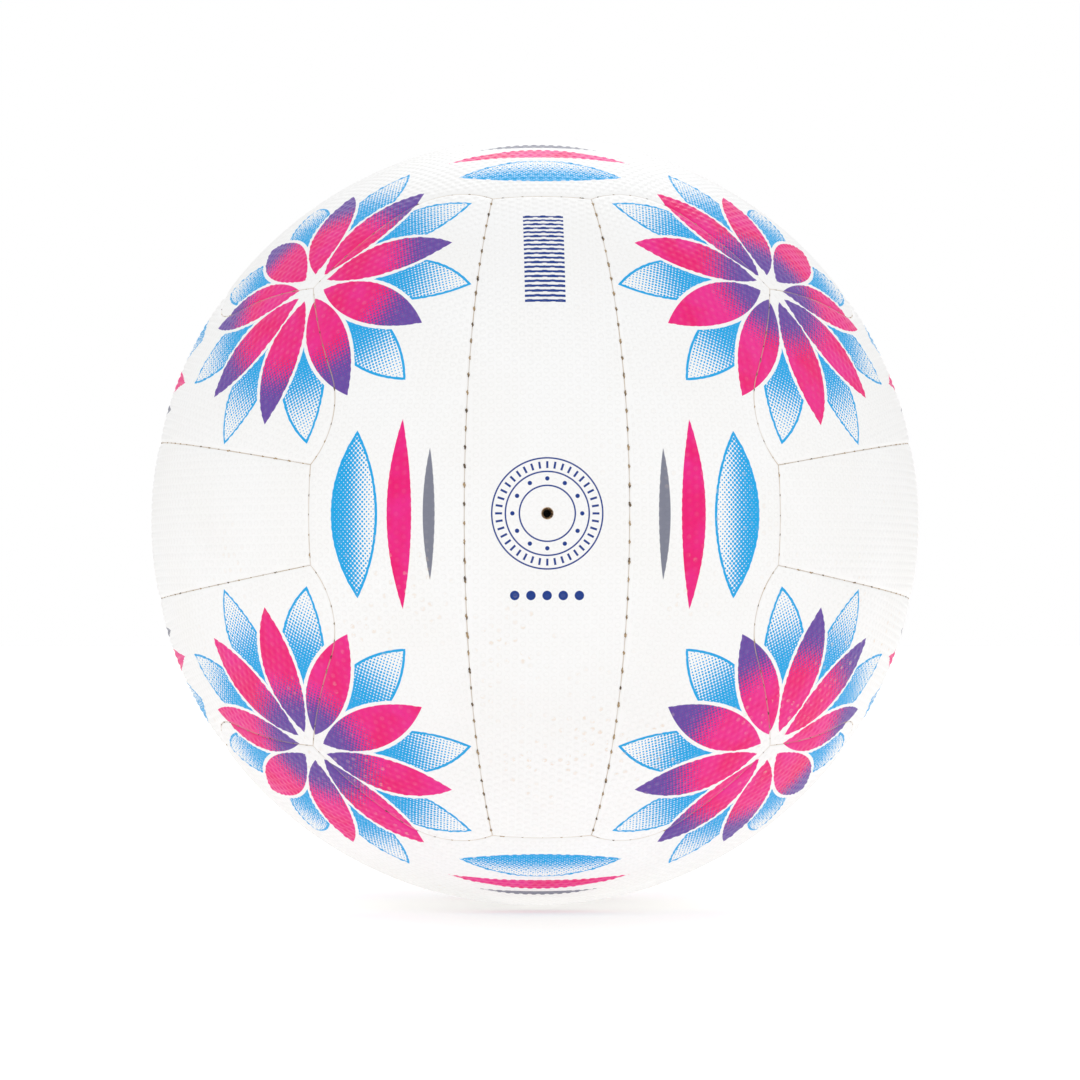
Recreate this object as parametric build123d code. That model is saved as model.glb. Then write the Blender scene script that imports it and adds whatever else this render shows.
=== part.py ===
from build123d import *
import os
from math import acos, cos, degrees, pi, radians, sin, sqrt

# A stitched size 5 netball. Millimetres, +Z up, origin at the centre of the ball.
# The needle valve looks along -Y, in the middle of the front face.

# Driving sizes of the ball and of its panels, measured over the surface of the ball
BALL_GIRTH = 700.0
MIDDLE_STRIP_LENGTH = 210.3
MIDDLE_STRIP_WAIST = 45.6
MIDDLE_STRIP_END = 27.9
BULGE_REACH = 24.7
BULGE_HEIGHT = 9.24
BULGE_TILT_DEGREES = -16.2

# Panel layers and seams
COVER_THICKNESS = 1.2
GLUE_LINE = 0.05
LINING_THICKNESS = 1.0
SEAM_GAP = 0.3
EDGE_ROLL_WIDTH = 1.4
EDGE_ROLL_DEPTH = 0.8
THREAD_DIAMETER = 0.8
THREAD_CLEARANCE = 0.1
THREAD_END_TRIM = 1.2

# Bladder and valve
BLADDER_CLEARANCE = 0.3
BLADDER_THICKNESS = 0.9
PATCH_DIAMETER = 28.0
PATCH_THICKNESS = 0.8
BOND_LINE = 0.05
NEEDLE_HOLE_DIAMETER = 3.0
NEEDLE_CHANNEL_DIAMETER = 2.0
NEEDLE_CHANNEL_LENGTH = 9.0
CORE_DIAMETER = 6.0
CORE_CLEARANCE = 0.02
CORE_FLOOR = 1.6
HOUSING_WALL = 2.0
HOUSING_FLOOR = 1.5
HOUSING_CLEARANCE = 0.1

# Radii of the layers, from the outside in
BALL_RADIUS = BALL_GIRTH / (2 * pi)
COVER_INNER_RADIUS = BALL_RADIUS - COVER_THICKNESS
LINING_OUTER_RADIUS = COVER_INNER_RADIUS - GLUE_LINE
LINING_INNER_RADIUS = LINING_OUTER_RADIUS - LINING_THICKNESS
THREAD_LINE_RADIUS = COVER_INNER_RADIUS - THREAD_CLEARANCE - THREAD_DIAMETER / 2
THREAD_INNER_RADIUS = THREAD_LINE_RADIUS - THREAD_DIAMETER / 2
BLADDER_OUTER_RADIUS = min(LINING_INNER_RADIUS, THREAD_INNER_RADIUS) - BLADDER_CLEARANCE
BLADDER_INNER_RADIUS = BLADDER_OUTER_RADIUS - BLADDER_THICKNESS
PATCH_OUTER_RADIUS = BLADDER_INNER_RADIUS - BOND_LINE
PATCH_INNER_RADIUS = PATCH_OUTER_RADIUS - PATCH_THICKNESS

# The valve stands on the -Y axis, with its flat top just under the curved cover
CAVITY_RADIUS = CORE_DIAMETER / 2 + CORE_CLEARANCE
HOUSING_RADIUS = CAVITY_RADIUS + HOUSING_WALL
VALVE_TOP = sqrt(COVER_INNER_RADIUS**2 - HOUSING_RADIUS**2) - HOUSING_CLEARANCE
CORE_BOTTOM = VALVE_TOP - NEEDLE_CHANNEL_LENGTH - CORE_FLOOR
CAVITY_BOTTOM = CORE_BOTTOM - CORE_CLEARANCE
HOUSING_BOTTOM = CAVITY_BOTTOM - HOUSING_FLOOR

# Each face of the ball: the direction across its strips and the direction along them,
# the names of the two outer strips, and the names of the two ends of the strips
FACES = {
    "front": ((1, 0, 0), (0, 0, 1), ("right", "left"), ("top", "bottom")),
    "back": ((-1, 0, 0), (0, 0, 1), ("left", "right"), ("top", "bottom")),
    "top": ((0, -1, 0), (1, 0, 0), ("front", "back"), ("right", "left")),
    "bottom": ((0, 1, 0), (1, 0, 0), ("back", "front"), ("right", "left")),
    "right": ((0, 0, -1), (0, 1, 0), ("lower", "upper"), ("back", "front")),
    "left": ((0, 0, 1), (0, 1, 0), ("upper", "lower"), ("back", "front")),
}


# Seam layout on the unit sphere
# A point is written as across, out and along: across the strips, out of the face and along the strips.
def on_front(across, out, along):
    return Vector(across, -out, along)


def over_ball(length):
    return length / BALL_RADIUS


def arc_through(start, middle, end):
    return (start.normalized(), middle.normalized(), end.normalized())


def arc_with_tangent(start, end, end_tangent):
    """The circle arc on the sphere from start to end that leaves end along end_tangent."""
    axis = (end - start).cross(end_tangent).normalized()
    centre = axis * axis.dot(end)
    middle = centre + ((start - centre) + (end - centre)).normalized() * (end - centre).length
    return arc_through(start, middle, end)


def reverse(arc):
    return (arc[2], arc[1], arc[0])


def turned(arc, turn):
    """An arc with every one of its points passed through the function turn."""
    return tuple(turn(point) for point in arc)


def flip_along(point):
    return Vector(point.X, point.Y, -point.Z)


def flip_across(point):
    return Vector(-point.X, point.Y, point.Z)


def to_next_face(point):
    """From the strip ends of the front face to the strip ends of the right face that meet it."""
    return on_front(-point.Y, point.Z, point.X)


half_length = over_ball(MIDDLE_STRIP_LENGTH / 2)
half_waist = over_ball(MIDDLE_STRIP_WAIST / 2)
half_end = over_ball(MIDDLE_STRIP_END / 2)

STRIP_END = on_front(0, cos(half_length), sin(half_length))
STRIP_CORNER = on_front(sin(half_end), cos(half_end) * cos(half_length), cos(half_end) * sin(half_length))
STRIP_WAIST = on_front(sin(half_waist), cos(half_waist), 0)
FACE_CORNER = on_front(1, 1, 1).normalized()

# The bulged end of an outer strip is two tangent arcs that meet at its crest
bulge_side = STRIP_CORNER.cross(FACE_CORNER).normalized()
chord_way = bulge_side.cross(STRIP_CORNER)
chord_point = STRIP_CORNER * cos(over_ball(BULGE_REACH)) + chord_way * sin(over_ball(BULGE_REACH))
BULGE_CREST = chord_point * cos(over_ball(BULGE_HEIGHT)) + bulge_side * sin(over_ball(BULGE_HEIGHT))
crest_along = (chord_way - BULGE_CREST * BULGE_CREST.dot(chord_way)).normalized()
crest_side = (bulge_side - BULGE_CREST * BULGE_CREST.dot(bulge_side)).normalized()
tilt = radians(BULGE_TILT_DEGREES)
crest_tangent = crest_along * cos(tilt) + crest_side * sin(tilt)

LONG_SEAM = arc_through(flip_along(STRIP_CORNER), STRIP_WAIST, STRIP_CORNER)
END_SEAM = arc_through(STRIP_CORNER, STRIP_END, flip_across(STRIP_CORNER))
BULGE_SEAM = (
    arc_with_tangent(STRIP_CORNER, BULGE_CREST, crest_tangent),
    reverse(arc_with_tangent(FACE_CORNER, BULGE_CREST, crest_tangent * -1)),
)


def reverse_all(arcs):
    return [reverse(arc) for arc in reversed(arcs)]


def turn_all(arcs, turn):
    return [turned(arc, turn) for arc in arcs]


# Outlines run anticlockwise, seen from outside the ball
upper_side = [LONG_SEAM, END_SEAM]
MIDDLE_OUTLINE = upper_side + turn_all(upper_side, lambda p: Vector(-p.X, p.Y, -p.Z))

upper_bulge = reverse_all(BULGE_SEAM)
next_bulge = turn_all(BULGE_SEAM, to_next_face)
next_end = turned(END_SEAM, to_next_face)
OUTER_OUTLINE = (
    turn_all(BULGE_SEAM, flip_along)
    + turn_all(reverse_all(next_bulge), flip_along)
    + [reverse(next_end)]
    + next_bulge
    + upper_bulge
    + [reverse(LONG_SEAM)]
)


def axis_and_height(arc):
    """The plane of an arc: its unit axis, right-handed about the arc, and its distance from the centre."""
    start, middle, end = arc
    axis = (middle - start).cross(end - middle).normalized()
    return axis, axis.dot(middle)


def inset_outline(outline, inset):
    """The outline drawn in by inset, in millimetres over the ball, with its corners kept."""
    step = over_ball(inset)
    circles = []
    for arc in outline:
        axis, height = axis_and_height(arc)
        circles.append((axis, cos(acos(height) - step)))
    corners = []
    for index, arc in enumerate(outline):
        axis, height = circles[index]
        next_axis, next_height = circles[(index + 1) % len(circles)]
        lean = axis.dot(next_axis)
        spread = 1 - lean * lean
        share = (height - lean * next_height) / spread
        next_share = (next_height - lean * height) / spread
        base = axis * share + next_axis * next_share
        rise = axis.cross(next_axis) * sqrt(max(0.0, 1 - base.dot(base)) / spread)
        corners.append(min((base + rise, base - rise), key=lambda p: (p - arc[2]).length))
    drawn_in = []
    for index, (arc, (axis, height)) in enumerate(zip(outline, circles)):
        outward = (arc[1] - axis * axis.dot(arc[1])).normalized()
        middle = axis * height + outward * sqrt(1 - height * height)
        drawn_in.append(arc_through(corners[index - 1], middle, corners[index]))
    return drawn_in


# Solids of the panels
def panel_solid(outline, levels):
    """A closed panel through levels of (inset, radius), from its outer face to its inner face."""
    edge_rings = []
    for inset, radius in levels:
        arcs = inset_outline(outline, inset)
        edge_rings.append([Edge.make_three_point_arc(*(point * radius for point in arc)) for arc in arcs])
    faces = []
    for (_, radius), edges in ((levels[0], edge_rings[0]), (levels[-1], edge_rings[-1])):
        ball = Solid.make_sphere(radius).faces()[0]
        faces.append(ball.split_by_perimeter(Wire(edges), Keep.INSIDE))
    for upper_edges, lower_edges in zip(edge_rings, edge_rings[1:]):
        for upper, lower in zip(upper_edges, lower_edges):
            faces.append(Face.make_surface_from_curves(upper, lower))
    return Solid(Shell(faces))


def cover_solid(outline):
    edge = SEAM_GAP / 2
    return panel_solid(outline, [
        (edge + EDGE_ROLL_WIDTH, BALL_RADIUS),
        (edge, BALL_RADIUS - EDGE_ROLL_DEPTH),
        (edge, COVER_INNER_RADIUS),
    ])


def lining_solid(outline):
    edge = THREAD_DIAMETER / 2 + THREAD_CLEARANCE
    return panel_solid(outline, [(edge, LINING_OUTER_RADIUS), (edge, LINING_INNER_RADIUS)])


# Solids of the stitching
def thread_run(arcs):
    """One run of thread under a seam of tangent arcs, its two ends trimmed short of the corners."""
    spans = []
    for index, arc in enumerate(arcs):
        axis, height = axis_and_height(arc)
        start, middle, end = (point - axis * axis.dot(point) for point in arc)
        turn = radians(start.get_angle(middle) + middle.get_angle(end))
        trim = THREAD_END_TRIM / (THREAD_LINE_RADIUS * sqrt(1 - height * height))
        from_angle = trim if index == 0 else 0.0
        to_angle = turn - trim if index == len(arcs) - 1 else turn
        begin = arc[0].rotate(Axis((0, 0, 0), axis), degrees(from_angle))
        plane = Plane(begin * THREAD_LINE_RADIUS, x_dir=begin, z_dir=axis.cross(begin))
        section = Face(Wire.make_circle(THREAD_DIAMETER / 2, plane))
        spans.append(Solid.revolve(section, degrees(to_angle - from_angle), Axis((0, 0, 0), axis)))
    return spans[0].fuse(*spans[1:]).solids()[0] if len(spans) > 1 else spans[0]


# Solids of the bladder and the valve
def valve_cylinder(diameter, bottom, top):
    """A cylinder on the valve's axis between two distances from the centre of the ball."""
    plane = Plane((0, -bottom, 0), x_dir=(1, 0, 0), z_dir=(0, -1, 0))
    return Solid.make_cylinder(diameter / 2, top - bottom, plane)


def hollow_ball(outer_radius, inner_radius):
    return Solid.make_sphere(outer_radius) - Solid.make_sphere(inner_radius)


def bladder_solid():
    opening = valve_cylinder(2 * (HOUSING_RADIUS + BOND_LINE), HOUSING_BOTTOM, VALVE_TOP)
    return hollow_ball(BLADDER_OUTER_RADIUS, BLADDER_INNER_RADIUS) - opening


def patch_solid():
    disc = valve_cylinder(PATCH_DIAMETER, HOUSING_BOTTOM, VALVE_TOP)
    opening = valve_cylinder(2 * (HOUSING_RADIUS + BOND_LINE), HOUSING_BOTTOM, VALVE_TOP)
    return (hollow_ball(PATCH_OUTER_RADIUS, PATCH_INNER_RADIUS) & disc) - opening


def housing_solid():
    boss = valve_cylinder(2 * HOUSING_RADIUS, HOUSING_BOTTOM, VALVE_TOP)
    return boss - valve_cylinder(2 * CAVITY_RADIUS, CAVITY_BOTTOM, VALVE_TOP)


def core_solid():
    plug = valve_cylinder(CORE_DIAMETER, CORE_BOTTOM, VALVE_TOP)
    return plug - valve_cylinder(NEEDLE_CHANNEL_DIAMETER, VALVE_TOP - NEEDLE_CHANNEL_LENGTH, VALVE_TOP)


# Placing each piece on its face of the ball
def place(solid, across, along):
    return solid.moved(Location(Plane((0, 0, 0), x_dir=across, z_dir=along)))


def opposite(direction):
    return tuple(-value for value in direction)


middle_cover = cover_solid(MIDDLE_OUTLINE)
outer_cover = cover_solid(OUTER_OUTLINE)
middle_lining = lining_solid(MIDDLE_OUTLINE)
outer_lining = lining_solid(OUTER_OUTLINE)
long_thread = thread_run([LONG_SEAM])
end_thread = thread_run([END_SEAM])
bulge_thread = thread_run(list(BULGE_SEAM))
far_bulge_thread = bulge_thread.mirror(Plane.YZ)

nodes = {}
for face, (across, along, sides, ends) in FACES.items():
    back_across, back_along = opposite(across), opposite(along)
    nodes[f"cover_{face}_middle"] = place(middle_cover, across, along)
    nodes[f"lining_{face}_middle"] = place(middle_lining, across, along)
    for side, turn in zip(sides, ((across, along), (back_across, back_along))):
        nodes[f"cover_{face}_{side}"] = place(outer_cover, *turn)
        nodes[f"lining_{face}_{side}"] = place(outer_lining, *turn)
    nodes[f"thread_{face}_strips"] = Compound(children=[
        place(long_thread, across, along),
        place(long_thread, back_across, back_along),
    ])
    for end, turn in zip(ends, ((across, along), (back_across, back_along))):
        nodes[f"thread_{face}_{end}_edge"] = Compound(children=[
            place(bulge_thread, *turn),
            place(end_thread, *turn),
            place(far_bulge_thread, *turn),
        ])

needle_hole = valve_cylinder(NEEDLE_HOLE_DIAMETER, HOUSING_BOTTOM, BALL_RADIUS + COVER_THICKNESS)
housing_hole = valve_cylinder(2 * (HOUSING_RADIUS + HOUSING_CLEARANCE), HOUSING_BOTTOM, BALL_RADIUS)
nodes["cover_front_middle"] = nodes["cover_front_middle"] - needle_hole
nodes["lining_front_middle"] = nodes["lining_front_middle"] - housing_hole
nodes["bladder"] = bladder_solid()
nodes["bladder_patch"] = patch_solid()
nodes["valve_housing"] = housing_solid()
nodes["valve_core"] = core_solid()

os.makedirs("parts", exist_ok=True)
for name, shape in nodes.items():
    export_step(shape, f"parts/{name}.step")
print(f"{len(nodes)} pieces, ball diameter {2 * BALL_RADIUS:.2f} mm")
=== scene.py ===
# %% [markdown]
# # A stitched netball
# A netball of this kind is eighteen strips of grip rubber, sewn edge to edge over an inflated bladder.
# The solids of the ball come in as a fixed frame, and this lesson dresses them: each strip becomes a
# mesh with real pimples and rolled edges, each seam gets its stitches, and every surface gets a
# material. Nothing here moves or resizes the ball, because all the shapes are worked out from the same
# few sizes.

# %% Load the ball
import functools
import math

import bpy
import numpy as np
from mathutils import Matrix, Vector
from mathutils.geometry import delaunay_2d_cdt


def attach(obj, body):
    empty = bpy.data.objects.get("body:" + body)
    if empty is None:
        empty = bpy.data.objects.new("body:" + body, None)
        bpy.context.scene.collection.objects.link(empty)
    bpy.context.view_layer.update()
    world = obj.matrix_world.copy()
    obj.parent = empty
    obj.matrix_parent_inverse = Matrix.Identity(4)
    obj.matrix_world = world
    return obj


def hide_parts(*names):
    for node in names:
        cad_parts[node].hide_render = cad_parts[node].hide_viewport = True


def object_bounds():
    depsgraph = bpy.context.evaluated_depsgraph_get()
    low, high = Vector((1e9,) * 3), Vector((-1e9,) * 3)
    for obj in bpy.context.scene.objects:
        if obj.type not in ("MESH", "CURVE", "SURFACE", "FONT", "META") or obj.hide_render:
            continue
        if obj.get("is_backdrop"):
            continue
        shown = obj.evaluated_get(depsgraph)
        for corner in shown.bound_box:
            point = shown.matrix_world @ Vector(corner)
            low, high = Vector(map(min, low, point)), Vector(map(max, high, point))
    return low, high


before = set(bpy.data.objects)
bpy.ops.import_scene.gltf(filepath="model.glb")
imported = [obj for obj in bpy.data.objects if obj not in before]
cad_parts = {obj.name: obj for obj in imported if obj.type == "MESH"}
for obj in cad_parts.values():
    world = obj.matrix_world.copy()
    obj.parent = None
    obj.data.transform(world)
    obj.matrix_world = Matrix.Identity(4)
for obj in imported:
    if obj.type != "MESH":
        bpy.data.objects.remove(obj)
cad_low, cad_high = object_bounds()
BALL_RADIUS = (cad_high - cad_low).z / 2
MM = 0.001
print(f"{len(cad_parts)} solids, ball radius {BALL_RADIUS / MM:.2f} mm")

# %% [markdown]
# ## Arcs on the ball
# The seams follow the edges of strips that are cut with a die. They could be drawn by hand as curves
# and pulled onto a sphere, but then neighbouring strips would never quite meet. So each seam is built
# from arcs that lie on the ball, and both strips beside it share them. A point is a direction from the
# centre of the ball, on the front face: X runs across the strips, -Y points out of the face and Z runs
# along the strips. An arc is its start, a point between and its end, and it lies on a flat cut through
# the ball.

# %% Directions and arcs


def unit(vector):
    return vector / np.linalg.norm(vector)


def on_front(across, out, along):
    return np.array((across, -out, along), float)


def plane_of(arc):
    """The flat cut that an arc lies on: its axis, right-handed about the arc, and its height."""
    axis = unit(np.cross(arc[1] - arc[0], arc[2] - arc[1]))
    return axis, axis @ arc[1]


def turn_of(arc):
    """The angle that an arc turns through about its axis."""
    axis, height = plane_of(arc)
    spokes = [unit(point - axis * height) for point in arc]
    return sum(math.acos(np.clip(a @ b, -1, 1)) for a, b in zip(spokes, spokes[1:]))


def length_of(arc):
    return turn_of(arc) * math.sqrt(1 - plane_of(arc)[1] ** 2) * BALL_RADIUS


def points_on(arc, shares):
    """Points at the given shares of an arc's turn, and the way along the arc there."""
    axis, height = plane_of(arc)
    centre = axis * height
    spoke = arc[0] - centre
    angles = np.asarray(shares)[:, None] * turn_of(arc)
    points = centre + np.cos(angles) * spoke + np.sin(angles) * np.cross(axis, spoke)
    return points, np.cross(axis, points - centre) / np.linalg.norm(spoke)


half_girth = np.array((on_front(1, 0, 0), on_front(0, 1, 0), on_front(-1, 0, 0)))
print(f"girth of the ball {2 * length_of(half_girth) / MM:.1f} mm")

# %% [markdown]
# ## Corners of the strips
# Each of the six faces has a barrel-shaped middle strip between two outer strips. Only one corner of
# one face has to be known: a corner of the middle strip, its waist, and the point where three faces
# meet. Turns and mirrors of these give every other corner, so the strips fit each other all round the
# ball.

# %% One corner of one face
MIDDLE_STRIP_LENGTH = 210.3 * MM
MIDDLE_STRIP_WAIST = 45.6 * MM
MIDDLE_STRIP_END = 27.9 * MM

half_length = MIDDLE_STRIP_LENGTH / 2 / BALL_RADIUS
half_waist = MIDDLE_STRIP_WAIST / 2 / BALL_RADIUS
half_end = MIDDLE_STRIP_END / 2 / BALL_RADIUS
strip_end = on_front(0, math.cos(half_length), math.sin(half_length))
strip_waist = on_front(math.sin(half_waist), math.cos(half_waist), 0)
strip_corner = strip_end * math.cos(half_end) + on_front(math.sin(half_end), 0, 0)
face_corner = unit(on_front(1, 1, 1))
corner_gap = math.acos(strip_corner @ face_corner) * BALL_RADIUS
print(f"from a middle strip's corner to the meeting point of three faces {corner_gap / MM:.1f} mm")

# %% [markdown]
# ## The seams of one corner
# The long seam beside the middle strip and the short seam across its end are one arc each. From the
# strip's corner to the meeting point, the seam swings out to one side and back. One arc is too plain
# for that, and a free spline has no radius to cut by, so it is two arcs that touch at the crest of the
# swing.

# %% Long seam, end seam and bulge
BULGE_REACH = 24.7 * MM
BULGE_HEIGHT = 9.24 * MM
BULGE_TILT = math.radians(-16.2)
FLIP_ALONG = np.array((1, 1, -1))
FLIP_ACROSS = np.array((-1, 1, 1))


def moved_over_ball(point, way, distance):
    turn = distance / BALL_RADIUS
    return point * math.cos(turn) + way * math.sin(turn)


def level_at(point, way):
    return unit(way - point * (point @ way))


def arc_with_tangent(start, end, tangent):
    """The arc on the ball from start to end that reaches end along tangent."""
    axis = unit(np.cross(end - start, tangent))
    centre = axis * (axis @ end)
    middle = centre + unit(start + end - 2 * centre) * np.linalg.norm(end - centre)
    return np.array((start, middle, end))


bulge_side = unit(np.cross(strip_corner, face_corner))
chord_way = np.cross(bulge_side, strip_corner)
chord_point = moved_over_ball(strip_corner, chord_way, BULGE_REACH)
crest = moved_over_ball(chord_point, bulge_side, BULGE_HEIGHT)
crest_way = level_at(crest, chord_way) * math.cos(BULGE_TILT)
crest_way = crest_way + level_at(crest, bulge_side) * math.sin(BULGE_TILT)

long_seam = np.array((strip_corner * FLIP_ALONG, strip_waist, strip_corner))
end_seam = np.array((strip_corner, strip_end, strip_corner * FLIP_ACROSS))
bulge_seam = [
    arc_with_tangent(strip_corner, crest, crest_way),
    arc_with_tangent(face_corner, crest, -crest_way)[::-1],
]
print("seams", [f"{length_of(arc) / MM:.1f} mm" for arc in (long_seam, end_seam, *bulge_seam)])

# %% [markdown]
# ## Outlines of the two kinds of strip
# There are only two shapes of strip on the ball. A middle strip is bounded by two long seams and two
# ends. An outer strip is bounded by one long seam, four bulges and the end of a strip on the next face.
# Both outlines run anticlockwise, seen from outside.

# %% Outlines
HALF_TURN = FLIP_ALONG * FLIP_ACROSS


def reverse_all(arcs):
    return [arc[::-1] for arc in reversed(arcs)]


def to_next_face(arc):
    """From the strip ends of the front face to the strip ends of the right face that meet it."""
    return np.stack((-arc[:, 1], -arc[:, 2], arc[:, 0]), axis=1)


next_bulge = [to_next_face(arc) for arc in bulge_seam]
middle_outline = [long_seam, end_seam, long_seam * HALF_TURN, end_seam * HALF_TURN]
outer_outline = (
    [arc * FLIP_ALONG for arc in bulge_seam]
    + [arc * FLIP_ALONG for arc in reverse_all(next_bulge)]
    + [to_next_face(end_seam)[::-1]]
    + next_bulge
    + reverse_all(bulge_seam)
    + [long_seam[::-1]]
)
for strip, outline in (("middle", middle_outline), ("outer", outer_outline)):
    print(f"{strip} strip: {len(outline)} arcs, {sum(map(length_of, outline)) / MM:.0f} mm round")

# %% [markdown]
# ## Outlines drawn in
# The rolled edge of a strip needs rings that follow its outline at a steady distance. Moving a loop of
# points inwards one by one crumples it at the corners. Here the flat cut of every arc moves sideways,
# and each corner is found again where two neighbouring cuts cross on the ball.

# %% Offset an outline


def crossing(cut, next_cut, near):
    """Where two flat cuts cross on the ball: of the two points, the one that is nearer to near."""
    (axis, height), (next_axis, next_height) = cut, next_cut
    lean = axis @ next_axis
    spread = 1 - lean**2
    base = axis * (height - lean * next_height) + next_axis * (next_height - lean * height)
    base = base / spread
    rise = np.cross(axis, next_axis) * math.sqrt(max(0.0, 1 - base @ base) / spread)
    return min((base + rise, base - rise), key=lambda point: np.linalg.norm(point - near))


def drawn_in(outline, inset):
    """An anticlockwise outline with every arc moved inwards over the ball, and its corners kept."""
    cuts = []
    for arc in outline:
        axis, height = plane_of(arc)
        cuts.append((axis, math.cos(math.acos(height) - inset / BALL_RADIUS)))
    next_cuts = cuts[1:] + cuts[:1]
    corners = [crossing(cut, after, arc[2]) for cut, after, arc in zip(cuts, next_cuts, outline)]
    moved = []
    for index, ((axis, height), arc) in enumerate(zip(cuts, outline)):
        spoke = unit(arc[1] - axis * (axis @ arc[1]))
        middle = axis * height + spoke * math.sqrt(1 - height**2)
        moved.append(np.array((corners[index - 1], middle, corners[index])))
    return moved


drawn_length = sum(map(length_of, drawn_in(middle_outline, MM)))
print(f"middle strip drawn in by 1 mm: {drawn_length / MM:.0f} mm round")

# %% [markdown]
# ## A strip as a flat sheet
# Triangles are easiest to lay out in a plane, so each strip is unrolled, as the sheet was before it was
# moulded. One direction on the sheet is the distance along the strip, and the other is the distance
# across it. The strip leans by a tilt from the middle of its face, so that its own middle lies at the
# middle of the sheet.

# %% Between sheet and ball


def sheet_axes(tilt):
    """Across, out and along for a strip whose middle is turned by tilt from the middle of its face."""
    across = on_front(math.cos(tilt), -math.sin(tilt), 0)
    out = on_front(math.sin(tilt), math.cos(tilt), 0)
    return across, out, on_front(0, 0, 1)


def to_sheet(points, tilt):
    across, out, along = sheet_axes(tilt)
    side = np.arcsin(points @ across)
    run = np.arctan2(points @ along, points @ out)
    return BALL_RADIUS * np.stack((side, run), axis=1)


def to_ball(sheet, tilt):
    across, out, along = sheet_axes(tilt)
    side, run = (sheet / BALL_RADIUS).T[:, :, None]
    return np.sin(side) * across + np.cos(side) * (np.cos(run) * out + np.sin(run) * along)


flat_ends = to_sheet(np.array((strip_waist, strip_end)), 0.0)
print("half of the middle strip's sheet", [f"{size / MM:.1f} mm" for size in flat_ends.max(0)])

# %% [markdown]
# ## Pimples for grip
# The rubber is moulded with rows of low round pimples. A bump in the material would give their shading
# but not their shape, and a displacement would need many more points. Here a fine triangle lattice has
# the top of a pimple on every fifth point each way, which puts every dome exactly on points of the
# mesh. Each pimple also draws a number, which decides later how dusty it is.

# %% A lattice with pimples
PIMPLE_PITCH = 2.5 * MM
PIMPLE_RADIUS = 0.9 * MM
PIMPLE_SHOULDER = 0.45 * MM
PIMPLE_CROWN = 0.15
PIMPLE_HEIGHT = 0.2 * MM
POINTS_PER_PIMPLE = 5
LATTICE_STEP = PIMPLE_PITCH / POINTS_PER_PIMPLE
ROOT_THREE = math.sqrt(3)
PIMPLE_SEED = 5
PIMPLE_NUMBERS = 211
pimple_numbers = np.random.default_rng(PIMPLE_SEED).random((PIMPLE_NUMBERS, PIMPLE_NUMBERS))


def lattice_points(row, place, step):
    return step * np.stack((row * ROOT_THREE / 2, place + row / 2), axis=1)


def lattice(low, high, step):
    """Rows along the strip, and places in them, of a triangle lattice over a box of the sheet."""
    row_step = step * ROOT_THREE / 2
    rows = np.arange(math.floor(low[0] / row_step), math.ceil(high[0] / row_step))
    reach = math.ceil(max(abs(low[1]), abs(high[1])) / step) + len(rows)
    row, place = np.meshgrid(rows, np.arange(-reach, reach), indexing="ij")
    return row.ravel(), place.ravel()


def pimples(row, place):
    """The share of its height that the nearest pimple has at each fine point, and its number."""
    points = lattice_points(row, place, LATTICE_STEP)
    nearest = np.full(len(row), np.inf)
    number = np.zeros(len(row))
    for row_step, place_step in ((0, 0), (0, 1), (1, 0), (1, 1)):
        top_row = row // POINTS_PER_PIMPLE + row_step
        top_place = place // POINTS_PER_PIMPLE + place_step
        gap = np.linalg.norm(points - lattice_points(top_row, top_place, PIMPLE_PITCH), axis=1)
        own = pimple_numbers[top_row % PIMPLE_NUMBERS, top_place % PIMPLE_NUMBERS]
        number = np.where(gap < nearest, own, number)
        nearest = np.minimum(gap, nearest)
    flank = np.clip((PIMPLE_RADIUS - nearest) / PIMPLE_SHOULDER, 0, 1)
    crown = 1 - PIMPLE_CROWN * (nearest / PIMPLE_RADIUS) ** 2
    return flank**2 * (3 - 2 * flank) * crown, number


sample_heights, _ = pimples(*lattice((-10 * MM, -10 * MM), (10 * MM, 10 * MM), LATTICE_STEP))
print(f"pimples cover {np.mean(sample_heights > 0):.0%} of the sheet")

# %% [markdown]
# ## Triangles between loops
# A Delaunay triangulation joins the lattice to the loops around it. It comes with Blender as a plain
# function, so no modifier or edit mode is needed. Points of the lattice that lie too near a loop are
# left out, because they would give needle-thin triangles, and the distance to the loop is kept for the
# grime along the seams.

# %% Distance to a loop, and triangles
KEEP_INSIDE = 1
SAME_POINT = 1e-9


def inside_gap(points, loop):
    """Distance of each point from a closed loop, negative outside it."""
    gap = np.full(len(points), np.inf)
    crossings = np.zeros(len(points), int)
    for start, end in zip(loop, np.roll(loop, -1, axis=0)):
        run = end - start
        share = np.clip((points - start) @ run / (run @ run), 0, 1)
        gap = np.minimum(gap, np.linalg.norm(points - start - share[:, None] * run, axis=1))
        if start[1] != end[1]:
            beside = (start[1] <= points[:, 1]) != (end[1] <= points[:, 1])
            reached = start[0] + (points[:, 1] - start[1]) * run[0] / run[1]
            crossings += beside & (points[:, 0] < reached)
    return np.where(crossings % 2 == 1, gap, -gap)


def triangulate(loops, extra):
    """Triangles over the first loop, less the holes of the other loops, with extra points inside."""
    flat = np.vstack([*loops, extra])
    outer_face = list(range(len(loops[0])))
    corners = [Vector(point) for point in flat]
    made = delaunay_2d_cdt(corners, [], [outer_face], KEEP_INSIDE, SAME_POINT)
    _, _, faces, sources, _, _ = made
    first_source = [ids[0] for ids in sources]
    triangles = np.array([[first_source[corner] for corner in face] for face in faces])
    for loop in loops[1:]:
        centres = flat[triangles].mean(axis=1)
        triangles = triangles[inside_gap(centres, loop) < 0]
    return triangles


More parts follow.
